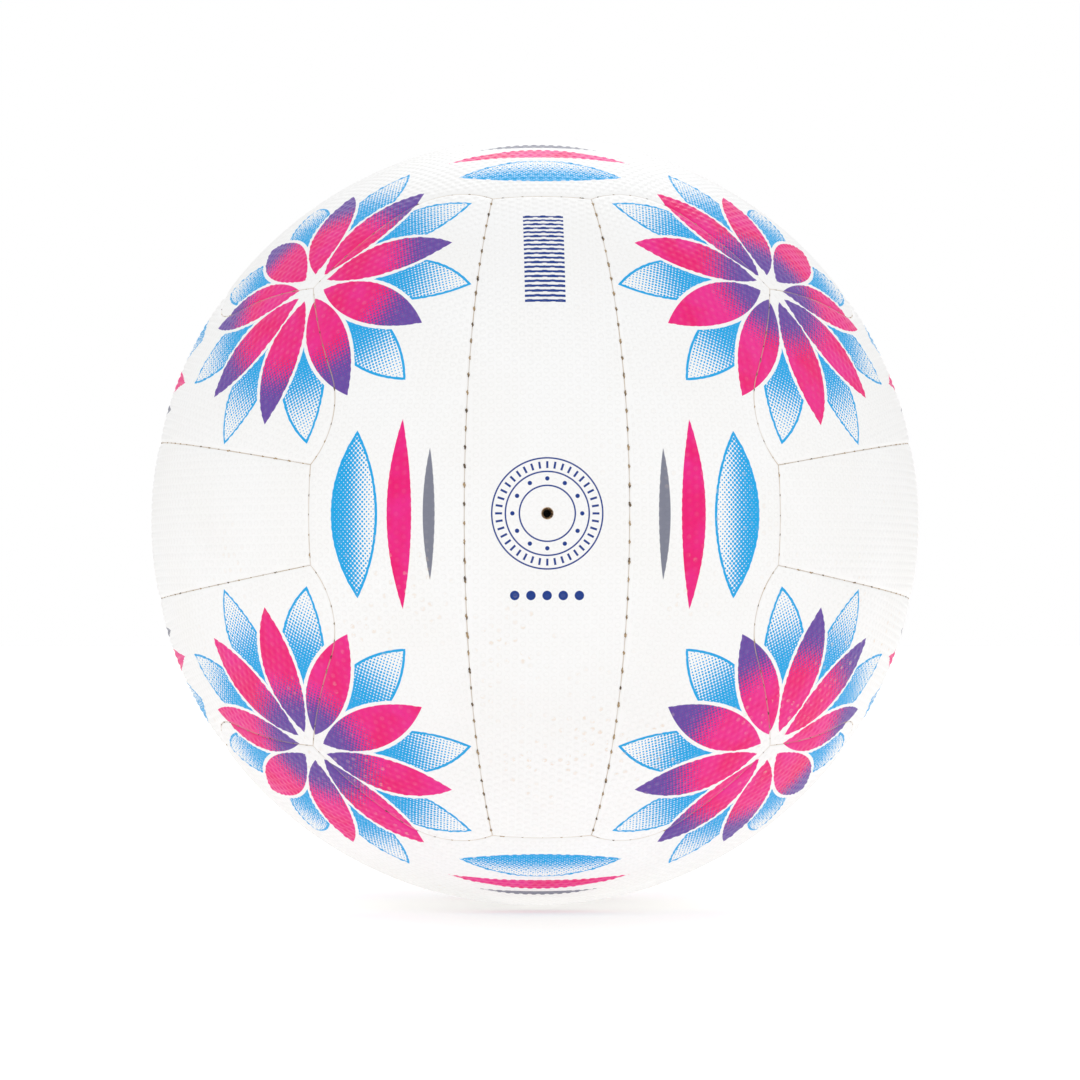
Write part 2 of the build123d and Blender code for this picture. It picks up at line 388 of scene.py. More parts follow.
square = np.array(((0, 0), (1, 0), (1, 1), (0, 1)), float)
square_triangles = triangulate([square], np.array([(0.5, 0.4)]))
print("a square with one point inside gives", len(square_triangles), "triangles")

# %% [markdown]
# ## A mesh put together piece by piece
# A panel is made of rings, bands between rings, and filled sheets. This small class collects their
# points and faces and numbers them in one go. It also carries values for each point, which become
# attributes of the mesh that the materials can read.

# %% Collecting a mesh


class MeshParts:
    """Points, faces and point values of a mesh that is put together piece by piece."""

    def __init__(self):
        self.points, self.faces, self.values, self.count = [], [], [], 0

    def add_points(self, points, values):
        self.points.append(points)
        self.values.append(values)
        numbers = np.arange(self.count, self.count + len(points))
        self.count += len(points)
        return numbers

    def add_band(self, inner, outer):
        """Quads between two rings that run anticlockwise, seen from the side that the band faces."""
        quads = np.stack((inner, outer, np.roll(outer, -1), np.roll(inner, -1)), axis=1)
        self.faces.extend(quads.tolist())

    def to_mesh(self, name, value_names):
        mesh = bpy.data.meshes.new(name)
        mesh.from_pydata(np.vstack(self.points).tolist(), [], self.faces)
        values = np.vstack(self.values)
        for column, value_name in enumerate(value_names):
            attribute = mesh.attributes.new(value_name, "FLOAT", "POINT")
            attribute.data.foreach_set("value", values[:, column].astype(np.float32))
        mesh.shade_smooth()
        print(f"{name}: {len(mesh.vertices)} points, {len(mesh.polygons)} faces")
        return mesh


# %% [markdown]
# ## Edges that roll into the seam
# The thread pulls the edges of the strips down, so each strip is a low pillow whose edge rolls into the
# seam. A bevel modifier would round every edge of the mesh alike, and would lose the panel's wall. So
# the edge is a few rings of points: each has an inset from the seam and a depth below the ball's
# surface, and the last one is the foot of the wall.

# %% Rings of the edge
COVER_THICKNESS = 1.2 * MM
SEAM_GAP = 0.03 * MM
EDGE_ROLL_WIDTH = 1.0 * MM
EDGE_ROLL_DEPTH = 0.35 * MM
EDGE_ROLL_ANGLE = math.radians(55)
EDGE_ROLL_STEPS = 5
LEAST_ARC_POINTS = 3
PILLOW_DEPTH = 0.3 * MM
PILLOW_REACH = 3.5 * MM


def pillow(seam_gap):
    return PILLOW_DEPTH * np.exp(-seam_gap / PILLOW_REACH)


def edge_profile():
    """Inset and depth of each ring, from the pimpled skin to the foot of the wall."""
    rolls = np.linspace(0, EDGE_ROLL_ANGLE, EDGE_ROLL_STEPS + 1)
    insets = SEAM_GAP / 2 + EDGE_ROLL_WIDTH * (1 - np.sin(rolls) / math.sin(EDGE_ROLL_ANGLE))
    depths = EDGE_ROLL_DEPTH * (1 - np.cos(rolls)) / (1 - math.cos(EDGE_ROLL_ANGLE))
    return [*zip(insets, depths + pillow(insets)), (SEAM_GAP / 2, COVER_THICKNESS)]


def add_edge_ring(parts, outline, tilt, inset, depth):
    """A ring along an outline that is drawn in and lowered: its loop on the sheet and its numbers."""
    counts = [max(LEAST_ARC_POINTS, round(length_of(arc) / LATTICE_STEP)) for arc in outline]
    counted = zip(drawn_in(outline, inset), counts)
    points = np.vstack([points_on(arc, np.arange(count) / count)[0] for arc, count in counted])
    values = np.tile((inset, 0.0, 0.0), (len(points), 1))
    return to_sheet(points, tilt), parts.add_points(points * (BALL_RADIUS - depth), values)


for inset, depth in edge_profile():
    print(f"edge ring {inset / MM:.2f} mm in, {depth / MM:.2f} mm down")

# %% [markdown]
# ## The needle hole
# The middle strip of the front face has a small hole over the valve, with a rounded rim that the needle
# has worn. A boolean would cut it too, but would leave thin slivers round it. Rings of points work as
# they do at the edge: they go over the rim and down through the sheet to the valve.

# %% Rings of the hole
VALVE_HOLE_RADIUS = 1.5 * MM
VALVE_RIM = 0.35 * MM
VALVE_HOLE_FOOT_RADIUS = 1.05 * MM
VALVE_HOLE_POINTS = 40


def hole_profile():
    """Radius and depth of each ring, from the pimpled skin to the foot of the hole."""
    rolls = np.linspace(0, math.pi / 2, EDGE_ROLL_STEPS + 1)
    radii = VALVE_HOLE_RADIUS + VALVE_RIM * (1 - np.sin(rolls))
    return [*zip(radii, VALVE_RIM * (1 - np.cos(rolls))), (VALVE_HOLE_FOOT_RADIUS, COVER_THICKNESS)]


def add_hole_ring(parts, tilt, radius, depth):
    spin = np.arange(VALVE_HOLE_POINTS) * 2 * math.pi / VALVE_HOLE_POINTS
    loop = radius * np.stack((np.cos(spin), np.sin(spin)), axis=1)
    values = np.tile((MIDDLE_STRIP_WAIST / 2, 0.0, 0.0), (VALVE_HOLE_POINTS, 1))
    return loop, parts.add_points(to_ball(loop, tilt) * (BALL_RADIUS - depth), values)


print(f"needle hole {2 * VALVE_HOLE_RADIUS / MM:.1f} mm wide, {len(hole_profile())} rings")

# %% [markdown]
# ## The panels
# Now the pieces come together. The skin is filled with the fine pimpled lattice, and the inside of the
# panel with a coarse plain one. Bands over the rings close the panel all round, as on the real sheet,
# so it has a thickness and casts true shadows in the seams. Eighteen panels need only three meshes:
# middle, middle with hole, and outer.

# %% Fill and close a panel
BACK_STEP = 5.0 * MM
SKIN_CLEARANCE = 0.6
BACK_CLEARANCE = 0.4


def points_between(loops, step, clearance):
    """Rows and places of a lattice inside the first loop and outside the others, and distances in."""
    low, high = loops[0].min(0), loops[0].max(0)
    row, place = lattice(low, high, step)
    points = lattice_points(row, place, step)
    gap = inside_gap(points, loops[0])
    keep = gap > clearance * step
    for loop in loops[1:]:
        keep &= inside_gap(points, loop) < -clearance * step
    return row[keep], place[keep], gap[keep]


def add_skin(parts, rings, tilt):
    """The pimpled outer skin between the first ring of the edge and any ring of a hole."""
    loops, numbers = zip(*rings)
    row, place, gap = points_between(loops, LATTICE_STEP, SKIN_CLEARANCE)
    height, number = pimples(row, place)
    seam_gap = gap + edge_profile()[0][0]
    sheet = lattice_points(row, place, LATTICE_STEP)
    radius = BALL_RADIUS - pillow(seam_gap) + height * PIMPLE_HEIGHT
    values = np.stack((seam_gap, height, number), axis=1)
    new = parts.add_points(to_ball(sheet, tilt) * radius[:, None], values)
    parts.faces.extend(np.concatenate([*numbers, new])[triangulate(loops, sheet)].tolist())


def add_back(parts, rings, tilt):
    """The plain inner skin, facing inwards."""
    loops, numbers = zip(*rings)
    row, place, gap = points_between(loops, BACK_STEP, BACK_CLEARANCE)
    sheet = lattice_points(row, place, BACK_STEP)
    values = np.stack((gap, 0 * gap, 0 * gap), axis=1)
    new = parts.add_points(to_ball(sheet, tilt) * (BALL_RADIUS - COVER_THICKNESS), values)
    triangles = np.concatenate([*numbers, new])[triangulate(loops, sheet)]
    parts.faces.extend(triangles[:, ::-1].tolist())


def panel_mesh(name, outline, tilt, hole=()):
    """A closed panel on the front face, with its skins, its rolled edge and the rings of a hole."""
    parts = MeshParts()
    edge = [add_edge_ring(parts, outline, tilt, *ring) for ring in edge_profile()]
    rim = [add_hole_ring(parts, tilt, *ring) for ring in hole]
    for (_, inner), (_, outer) in [*zip(edge, edge[1:]), *zip(rim[1:], rim)]:
        parts.add_band(inner, outer)
    add_skin(parts, edge[:1] + rim[:1], tilt)
    add_back(parts, edge[-1:] + rim[-1:], tilt)
    return parts.to_mesh(name, ("seam_gap", "pimple", "pimple_number"))


# %% The three kinds of panel
outer_tilt = (half_waist + math.pi / 2 - half_length) / 2
panel_kinds = {
    "middle": panel_mesh("middle_strip", middle_outline, 0.0),
    "valve": panel_mesh("valve_strip", middle_outline, 0.0, hole_profile()),
    "outer": panel_mesh("outer_strip", outer_outline, outer_tilt),
}

# %% [markdown]
# ## Tubes for the thread
# The panels are sewn with waxed two-ply thread. A curve with a round bevel would make a strand too, but
# hundreds of stitches would be hundreds of splines. So a tube is made directly: a ring of points round
# each point of its path, and caps at both ends.

# %% A tube along a path


def add_tube(parts, path, hints, radius, sides, shares):
    """A closed tube along a path, with hints of its sideways direction and a value for each point."""
    ways = np.gradient(path, axis=0)
    ways = ways / np.linalg.norm(ways, axis=1, keepdims=True)
    side = hints - ways * (hints * ways).sum(1, keepdims=True)
    side = side / np.linalg.norm(side, axis=1, keepdims=True)
    other = np.cross(ways, side)
    spin = np.arange(sides) * 2 * math.pi / sides
    rings = []
    for place, a, b, share in zip(path, side, other, shares):
        circle = place + radius * (np.cos(spin)[:, None] * a + np.sin(spin)[:, None] * b)
        rings.append(parts.add_points(circle, np.full((sides, 1), share)))
    for ring, next_ring in zip(rings, rings[1:]):
        parts.add_band(next_ring, ring)
    parts.faces.append(rings[0][::-1].tolist())
    parts.faces.append(rings[-1].tolist())


def chain_points(arcs, distances):
    """Places and ways along a chain of arcs, at distances from its start."""
    lengths = [length_of(arc) for arc in arcs]
    starts = np.cumsum([0.0] + lengths)
    places, ways = [], []
    for distance in distances:
        index = min(np.searchsorted(starts, distance, side="right") - 1, len(arcs) - 1)
        place, way = points_on(arcs[index], [(distance - starts[index]) / lengths[index]])
        places.append(place[0])
        ways.append(way[0])
    return np.array(places), np.array(ways)


print(f"seam from corner to meeting point {sum(map(length_of, bulge_seam)) / MM:.1f} mm")

# %% [markdown]
# ## One seam's stitches
# From outside, a stitch shows as a short slanted bit of thread in the groove that dives under both
# panels, and between the stitches the thread runs hidden below the gap. So a run of stitching is one
# tube under the seam, and for each stitch two strands twisted round a small arch. Seeded changes from
# stitch to stitch in length, slant and height look hand sewn.

# %% Sew a seam
THREAD_RADIUS = 0.4 * MM
THREAD_DEPTH = COVER_THICKNESS + 0.1 * MM + THREAD_RADIUS
THREAD_END_TRIM = 1.2 * MM
THREAD_STEP = 1.5 * MM
LEAST_THREAD_POINTS = 4
THREAD_SIDES = 8
STITCH_PITCH = 5.2 * MM
STITCH_HALF_LENGTH = 1.05 * MM
STITCH_HALF_WIDTH = 0.25 * MM
STITCH_FOOT_DROP = 0.8 * MM
STITCH_ARCH = 2.5
STITCH_STEPS = 11
STITCH_LEAST = (0.6, 0.2, 0.0, 0.0)
STITCH_MOST = (1.2, 1.4, 0.2 * MM, math.pi)
PLY_RADIUS = 0.22 * MM
PLY_OFFSET = 0.8 * PLY_RADIUS
PLY_TWIST = 2.6 * math.pi
PLY_SIDES = 7


def add_stitch(parts, place, way, depth, rng):
    """Two strands that twist over a small arch, with the ends of the arch under the panels."""
    across = np.cross(place, way)
    share = np.linspace(-1, 1, STITCH_STEPS)[:, None]
    size, lean, lift, phase = rng.uniform(STITCH_LEAST, STITCH_MOST)
    fall = depth - lift + STITCH_FOOT_DROP * np.abs(share) ** STITCH_ARCH
    line = place * (BALL_RADIUS - fall) + way * share * STITCH_HALF_LENGTH * size
    line = line + across * share * STITCH_HALF_WIDTH * lean
    hints = np.tile(across, (STITCH_STEPS, 1))
    for ply in (0, math.pi):
        twist = phase + ply + share * PLY_TWIST / 2
        strand = line + PLY_OFFSET * (np.cos(twist) * across + np.sin(twist) * place)
        add_tube(parts, strand, hints, PLY_RADIUS, PLY_SIDES, np.abs(share[:, 0]))


def sew(parts, arcs, stitch_depth, rng):
    """The thread and the stitches of one unbroken seam. Gives back the number of stitches."""
    length = sum(length_of(arc) for arc in arcs)
    steps = max(LEAST_THREAD_POINTS, round(length / THREAD_STEP))
    places, _ = chain_points(arcs, np.linspace(THREAD_END_TRIM, length - THREAD_END_TRIM, steps))
    path = places * (BALL_RADIUS - THREAD_DEPTH)
    add_tube(parts, path, places, THREAD_RADIUS, THREAD_SIDES, np.ones(steps))
    count = round(length / STITCH_PITCH)
    for place, way in zip(*chain_points(arcs, (np.arange(count) + 0.5) * length / count)):
        add_stitch(parts, place, way, stitch_depth, rng)
    return count


# %% [markdown]
# ## Runs of stitching
# The seams beside a middle strip are sewn in one pair, and the edge between two faces is sewn as one
# run: bulge, end and bulge. Beside the middle strips of the front and the back the stitches sit high
# enough to show. On the other faces and between the faces the thread was pulled tight and the panels
# close over it, so there the stitches sit deeper and only glint through.

# %% Sew the three kinds of run
LOOSE_STITCH_DEPTH = 0.62 * MM
TIGHT_STITCH_DEPTH = 0.88 * MM
STITCH_SEED = 11

strip_chains = ([long_seam], [long_seam * HALF_TURN])
far_bulge = [arc * FLIP_ACROSS for arc in reverse_all(bulge_seam)]
edge_chains = (bulge_seam, [end_seam], far_bulge)
RUNS = {
    "loose_strips": (strip_chains, LOOSE_STITCH_DEPTH),
    "edge": (edge_chains, TIGHT_STITCH_DEPTH),
    "tight_strips": (strip_chains, TIGHT_STITCH_DEPTH),
}
rng = np.random.default_rng(STITCH_SEED)
run_kinds = {}
for kind, (chains, depth) in RUNS.items():
    parts = MeshParts()
    count = sum(sew(parts, chain, depth, rng) for chain in chains)
    run_kinds[kind] = parts.to_mesh(f"{kind}_stitching", ("stitch_share",))
    print(f"{kind}: {count} stitches, {depth / MM:.2f} mm deep")

# %% [markdown]
# ## Placing the pieces
# All six faces are turned copies of the front face, so each kind of mesh is made once and its copies
# are turned onto their faces. A turn is known from where the directions across and along the strips go.
# The outer strip on the other side of a face is the same strip after a half turn about the middle of
# the face.

# %% Turn a copy onto its face


def face_turn(across, along, half_turn=False):
    sign = -1 if half_turn else 1
    x_way, z_way = Vector(across) * sign, Vector(along) * sign
    return Matrix((x_way, z_way.cross(x_way), z_way)).transposed().to_4x4()


def place_piece(name, mesh, turn, node):
    """A turned copy of a mesh, riding on the ball in place of one of its solids."""
    mesh = mesh.copy()
    mesh.transform(turn)
    mesh.name = name
    piece = bpy.data.objects.new(name, mesh)
    bpy.context.scene.collection.objects.link(piece)
    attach(piece, "root")
    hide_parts(node)
    return piece


# %% Panels and stitching of the six faces
FACES = {
    "front": ((1, 0, 0), (0, 0, 1), ("right", "left"), ("top", "bottom")),
    "back": ((-1, 0, 0), (0, 0, 1), ("left", "right"), ("top", "bottom")),
    "top": ((0, -1, 0), (1, 0, 0), ("front", "back"), ("right", "left")),
    "bottom": ((0, 1, 0), (1, 0, 0), ("back", "front"), ("right", "left")),
    "right": ((0, 0, -1), (0, 1, 0), ("lower", "upper"), ("back", "front")),
    "left": ((0, 0, 1), (0, 1, 0), ("upper", "lower"), ("back", "front")),
}
LOOSE_FACES = ("front", "back")
panels, runs = [], []
for face, (across, along, sides, ends) in FACES.items():
    turns = face_turn(across, along), face_turn(across, along, half_turn=True)
    strips = [("middle", "valve" if face == "front" else "middle", turns[0])]
    strips += [(side, "outer", turn) for side, turn in zip(sides, turns)]
    for side, kind, turn in strips:
        name = f"{face}_{side}"
        panel = place_piece(f"panel_{name}", panel_kinds[kind], turn, f"cover_{name}")
        panels.append((panel, kind))
    sewn = [(f"{face}_strips", "loose_strips" if face in LOOSE_FACES else "tight_strips", turns[0])]
    sewn += [(f"{face}_{end}_edge", "edge", turn) for end, turn in zip(ends, turns)]
    for name, kind, turn in sewn:
        run = place_piece(f"stitching_{name}", run_kinds[kind], turn, f"thread_{name}")
        runs.append(run)
print(len(panels), "panels and", len(runs), "runs of stitching placed")

# %% [markdown]
# ## Materials as arithmetic
# A material is a tree of nodes, and a print that is drawn by nodes needs many sums. Adding Math nodes
# one by one hides the sum behind the wiring. So a wire, which is one output of a node, gets plain
# arithmetic here: adding or multiplying wires adds the Math nodes for it.

# %% Wires


class Wire:
    """One output of a node. Arithmetic on it adds Math nodes to its tree."""

    def __init__(self, tree, socket):
        self.tree, self.socket = tree, socket

    def calc(self, operation, *others):
        return wire(self.tree, "ShaderNodeMath", dict(enumerate((self, *others))), operation=operation)

    __add__ = functools.partialmethod(calc, "ADD")
    __sub__ = functools.partialmethod(calc, "SUBTRACT")
    __mul__ = functools.partialmethod(calc, "MULTIPLY")
    __truediv__ = functools.partialmethod(calc, "DIVIDE")
    __abs__ = functools.partialmethod(calc, "ABSOLUTE")
    __round__ = functools.partialmethod(calc, "ROUND")


def add_node(tree, kind, sockets, **settings):
    """A node with its settings made, and each of its sockets wired up or given a value."""
    node = tree.nodes.new(kind)
    for key, value in settings.items():
        setattr(node, key, value)
    for key, value in sockets.items():
        if isinstance(value, Wire):
            tree.links.new(value.socket, node.inputs[key])
        else:
            node.inputs[key].default_value = value
    return node


def wire(tree, kind, sockets, output=0, **settings):
    return Wire(tree, add_node(tree, kind, sockets, **settings).outputs[output])


# %% The nodes that are used most
NOISE_SPAN = (0.3, 0.7)


def fade(value, low, high, at_low=0.0, at_high=1.0):
    """A smooth step from at_low to at_high as value goes from low to high."""
    sockets = {"Value": value, 1: low, 2: high, 3: at_low, 4: at_high}
    return wire(value.tree, "ShaderNodeMapRange", sockets, interpolation_type="SMOOTHSTEP")


def mixed(share, first, second, way="MIX"):
    """Two colours mixed by share. On a Mix node they go in at 6 and 7, and the colour comes out at 2."""
    sockets = {0: share, 6: first, 7: second}
    return wire(share.tree, "ShaderNodeMix", sockets, 2, data_type="RGBA", blend_type=way)


def largest(*wires):
    return functools.reduce(lambda first, second: first.calc("MAXIMUM", second), wires)


def noise(place, grain_size, detail=2.0, rough=0.5):
    sockets = {"Vector": place, "Scale": 1 / grain_size, "Detail": detail, "Roughness": rough}
    return wire(place.tree, "ShaderNodeTexNoise", sockets)


def split(place):
    node = add_node(place.tree, "ShaderNodeSeparateXYZ", {0: place})
    return [Wire(place.tree, output) for output in node.outputs]


def dot(place, way):
    sockets = {0: place, 1: tuple(way)}
    return wire(place.tree, "ShaderNodeVectorMath", sockets, "Value", operation="DOT_PRODUCT")


def distance(run, rise):
    return (run * run + rise * rise).calc("SQRT")


def object_place(tree):
    return wire(tree, "ShaderNodeTexCoord", {}, "Object")


def point_value(tree, name):
    return wire(tree, "ShaderNodeAttribute", {}, "Fac", attribute_name=name)


# %% [markdown]
# ## Node groups
# An effect that several materials share is a node group, built once, with named inputs and outputs. A
# place on the ball goes in as a vector, and all the other inputs and outputs are numbers. The shader
# itself stays in each material, where its constants are set.

# %% Make and place a group


def new_group(name, inputs, outputs):
    """An empty node group: its tree, its inputs as wires, and a function that wires up its outputs."""
    tree = bpy.data.node_groups.new(name, "ShaderNodeTree")
    for in_out, sockets in (("INPUT", inputs), ("OUTPUT", outputs)):
        for socket in sockets:
            kind = "NodeSocketVector" if socket == "Place" else "NodeSocketFloat"
            tree.interface.new_socket(socket, in_out=in_out, socket_type=kind)
    entry = tree.nodes.new("NodeGroupInput")
    leave = tree.nodes.new("NodeGroupOutput")
    given = {socket: Wire(tree, entry.outputs[socket]) for socket in inputs}

    def finish(**results):
        for socket, result in results.items():
            tree.links.new(result.socket, leave.inputs[socket])
        print(f"node group {name}: {len(tree.nodes)} nodes")
        return tree

    return tree, given, finish


def use_group(tree, group, sockets):
    node = add_node(tree, "ShaderNodeGroup", sockets, node_tree=group)
    return {output.name: Wire(tree, output) for output in node.outputs}


# %% [markdown]
# ## Rubber grain
# Moulded rubber is never quite even: a fine grain breaks up its shine. It is too fine for points of a
# mesh, so it is a noise. The panels, the bladder and the valve are all rubber, so they share one group,
# with a height for the bump and a value for the roughness.

# %% Grain group
GRAIN_SIZE = 0.7 * MM
BROAD_GRAIN_SIZE = 8.4 * MM
FINE_SHARE = 0.6


def grain_group():
    _, given, finish = new_group("rubber grain", ("Place",), ("Height", "Shine"))
    fine = noise(given["Place"], GRAIN_SIZE, detail=4.0, rough=0.6)
    broad = noise(given["Place"], BROAD_GRAIN_SIZE)
    return finish(Height=fine, Shine=fine * FINE_SHARE + broad * (1 - FINE_SHARE))


rubber_grain = grain_group()

# %% [markdown]
# ## Grime, dust, worn ink and painted shade
# A used ball gathers grime in its seams and dust on its pimples. Both could be painted on by hand, but
# then every panel would need its own picture. Here the grime follows the distance to the seam that each
# point of a panel carries, and a slow noise makes it come and go. The dust takes loose patches, mostly
# on the lower half, and in them only the pimples whose number is high. A faint ring round the foot of
# every pimple is painted shade, where the valleys between the pimples lie. The ink on the tops of the
# pimples is lightened, on some more than on others: partly wear, and partly a painted highlight.

# %% Grime group, and dust, shade and highlight group
GRIME_PATCH = 9 * MM
LEAST_GRIME = 0.35
DUST_PATCH = 38 * MM
DUST_SPECK = 1.1 * MM
# Ink on the pimple tops is lightened: partly wear, partly a painted highlight.
INK_WEAR_AND_HIGHLIGHT = 0.035
DUST_FALL = (-50 * MM, 30 * MM, 1.0, 0.1)
PATCH_SPAN = (0.5, 0.66)
SPECK_SPAN = (0.42, 0.6)
NUMBER_SPAN = (0.5, 0.9)
TOP_SPAN = (0.35, 0.8)
FOOT_RISE = (0.0, 0.3)
FOOT_FALL = (0.4, 0.9, 1.0, 0.0)


def grime_group():
    _, given, finish = new_group("seam grime", ("Place", "Seam gap", "Reach"), ("Mask",))
    uneven = fade(noise(given["Place"], GRIME_PATCH, detail=3.0), *NOISE_SPAN, LEAST_GRIME, 1.0)
    return finish(Mask=fade(given["Seam gap"], 0.0, given["Reach"], 1.0, 0.0) * uneven)


def dust_shade_and_highlight_group():
    inputs = ("Place", "Pimple", "Number", "Ink", "Amount")
    _, given, finish = new_group("pimple dust, painted shade and highlight", inputs, ("Mask", "Foot", "Worn"))
    _, _, height = split(given["Place"])
    patches = fade(noise(given["Place"], DUST_PATCH, detail=3.0, rough=0.55), *PATCH_SPAN)
    patches = patches * fade(height, *DUST_FALL)
    chosen = fade(given["Number"], *NUMBER_SPAN)
    tops = fade(given["Pimple"], *TOP_SPAN)
    specks = fade(noise(given["Place"], DUST_SPECK), *SPECK_SPAN)
    # Painted shade: a faint ring round the foot of each pimple, in the valleys between them.
    foot = fade(given["Pimple"], *FOOT_RISE) * fade(given["Pimple"], *FOOT_FALL)
    dust = patches * chosen * tops * specks * given["Amount"]
    # Lighter ink on the pimple tops: wear, and a painted highlight.
    wear_and_highlight = given["Pimple"] * given["Number"] * given["Ink"] * INK_WEAR_AND_HIGHLIGHT
    return finish(Mask=dust, Foot=foot, Worn=wear_and_highlight)


seam_grime, pimple_dust_shade_and_highlight = grime_group(), dust_shade_and_highlight_group()

# %% [markdown]
# ## A leaf shape and halftone dots
# The outer strips carry a screen print in solid inks, with white keylines and fades made of halftone
# dots. An image would blur when seen close, so the print is drawn with sums. A leaf is the overlap of
# two circles: the distance to the farther circle is negative inside it and grows past its edge. A
# halftone is a slanted grid of dots whose size follows how much of the white is to be covered.

# %% Leaf group and halftone group
DOT_PITCH = 0.95 * MM
DOT_EDGE = 0.06


def leaf_group():
    _, given, finish = new_group("leaf", ("Run", "Rise", "Length", "Half width"), ("Gap",))
    length, half_width = given["Length"], given["Half width"]
    circle = length * length / (half_width * 8.0) + half_width * 0.5
    rise = abs(given["Rise"]) + circle - half_width
    return finish(Gap=distance(given["Run"], rise) - circle)


def halftone_group():
    _, given, finish = new_group("halftone", ("Across", "Along", "Pitch", "Cover"), ("Mask",))
    slanted_pitch = given["Pitch"] * math.sqrt(2)
    cells = []
    for slanted in (given["Across"] + given["Along"], given["Across"] - given["Along"]):
        cells.append((slanted / slanted_pitch).calc("FRACT") - 0.5)
    dot_radius = (given["Cover"] / math.pi).calc("SQRT")
    return finish(Mask=fade(distance(*cells) - dot_radius, -DOT_EDGE, DOT_EDGE, 1.0, 0.0))


leaf, halftone = leaf_group(), halftone_group()


def leaf_gap(run, rise, length, half_width):
    sockets = {"Run": run, "Rise": rise, "Length": length, "Half width": half_width}
    return use_group(run.tree, leaf, sockets)["Gap"]


def halftone_dots(across, along, cover):
    sockets = {"Across": across, "Along": along, "Pitch": DOT_PITCH, "Cover": cover}
    return use_group(across.tree, halftone, sockets)["Mask"]


# %% [markdown]
# ## A flower at every meeting point
# The print is a plain flower at each of the eight points where three faces meet, with a front row of
# solid petals and a back row of halftone ones. The eight points look alike when every coordinate loses
# its sign, so one flower serves them all. Round the flower the angle is folded to the nearest petal, so
# one leaf serves all the petals.

# %% Petals
PETALS = 9
FRONT_PETAL = {"start": 5.0 * MM, "length": 38 * MM, "half_width": 6.4 * MM}
BACK_PETAL = {"start": 11 * MM, "length": 40 * MM, "half_width": 7.6 * MM}
INK_EDGE = 0.06 * MM

flower_middle = np.full(3, 1 / ROOT_THREE)
beside_middle = np.abs(strip_corner) + np.abs(to_next_face(strip_corner[None])[0])
flower_up = level_at(flower_middle, beside_middle)
flower_side = np.cross(flower_middle, flower_up)


def printed(gap):
    """A mask that is 1 where a gap is negative, with a thin soft edge."""
    return fade(gap, -INK_EDGE, INK_EDGE, 1.0, 0.0)


def fold_round(angle, count):
    """An angle measured from the nearest of count spokes."""
    step = 2 * math.pi / count
    return angle - round(angle / step) * step


def petal_gap(radius, angle, turn, start, length, half_width):
    folded = fold_round(angle + turn, PETALS)
    run = radius * folded.calc("COSINE") - (start + length / 2)
    rise = radius * folded.calc("SINE")
    return leaf_gap(run, rise, length, half_width)


print(f"flowers reach {(BACK_PETAL['start'] + BACK_PETAL['length']) / MM:.0f} mm from the meeting points")

# %% [markdown]
# ## Dots and lines of the flower
# A screen print lays down one ink after another, each through its own mask, and this group puts out the
# masks. The front petals are solid. Dots of a second ink cover one end of them, the middle of one flower
# and the tips of the next, and grow there until they join. The back petals have a solid outline, and
# their dots thin out towards the tips. A keyline of bare rubber keeps the two rows apart.

# %% Flower group
KEYLINE = 1.1 * MM
OUTLINE = 0.75 * MM
BACK_FADE = (18 * MM, 50 * MM, 1.6, 0.1)
MIDDLE_FADE = (8 * MM, 25 * MM, 1.4, 0.0)
TIP_FADE = (22 * MM, 39 * MM, 0.0, 1.4)


def with_outline(dots, gap):
    """Dots inside a shape, with a solid line along the inside of its edge."""
    return largest(dots, printed((gap + OUTLINE) * -1.0)) * printed(gap)


def flower_group():
    tree, given, finish = new_group("flower print", ("Place",), ("Front", "Spread", "Back"))
    out = wire(tree, "ShaderNodeVectorMath", {0: given["Place"]}, operation="NORMALIZE")
    folded = wire(tree, "ShaderNodeVectorMath", {0: out}, operation="ABSOLUTE")
    radius = dot(folded, flower_middle).calc("ARCCOSINE") * BALL_RADIUS
    angle = dot(folded, flower_side).calc("ARCTAN2", dot(folded, flower_up))
    across, along = radius * angle.calc("SINE"), radius * angle.calc("COSINE")

    def dots(profile):
        return halftone_dots(across, along, fade(radius, *profile))

    front = petal_gap(radius, angle, 0.0, **FRONT_PETAL)
    back = petal_gap(radius, angle, math.pi / PETALS, **BACK_PETAL)
    back_ink = with_outline(dots(BACK_FADE), back) * printed((front - KEYLINE) * -1.0)
    x, y, z = split(out)
    from_tips = (x * y * z).calc("GREATER_THAN", 0.0)
    middle_dots, tip_dots = dots(MIDDLE_FADE), dots(TIP_FADE)
    spread = middle_dots + (tip_dots - middle_dots) * from_tips
    return finish(Front=printed(front), Spread=spread, Back=back_ink)


flower_print = flower_group()

# %% [markdown]
# ## Marks on the valve strip
# The needle hole sits in a small printed dial: three thin navy rings, with dots in the inner band and
# ticks in the outer one. A row of five dots sits under it, and an evenly ruled block fills the top of
# the strip. They are measured from the valve's axis, which runs along Y, so X and Z are enough for the
# dial, and the block follows the curve of the ball by its angle above the valve.

# %% Shapes of the marks
DIAL_RINGS = (7.6 * MM, 11.4 * MM, 15.1 * MM)
RING_HALF_WIDTH = 0.21 * MM
TICKS, TICK_RING, TICK_HALF_LENGTH, TICK_HALF_WIDTH = 40, 13.25 * MM, 0.95 * MM, 0.3 * MM
DOTS, DOT_RING, DOT_RADIUS = 12, 9.5 * MM, 0.6 * MM
ROW_DOTS, ROW_DOT_PITCH, ROW_DOT_RADIUS, ROW_DOT_DROP = 5, 4.4 * MM, 1.3 * MM, 22.3 * MM
BARS, BAR_PITCH, FIRST_BAR = 20, 1.7 * MM, 62 * MM
BAR_HALF_LENGTH, BAR_HALF_WIDTH = 5.6 * MM, 0.42 * MM


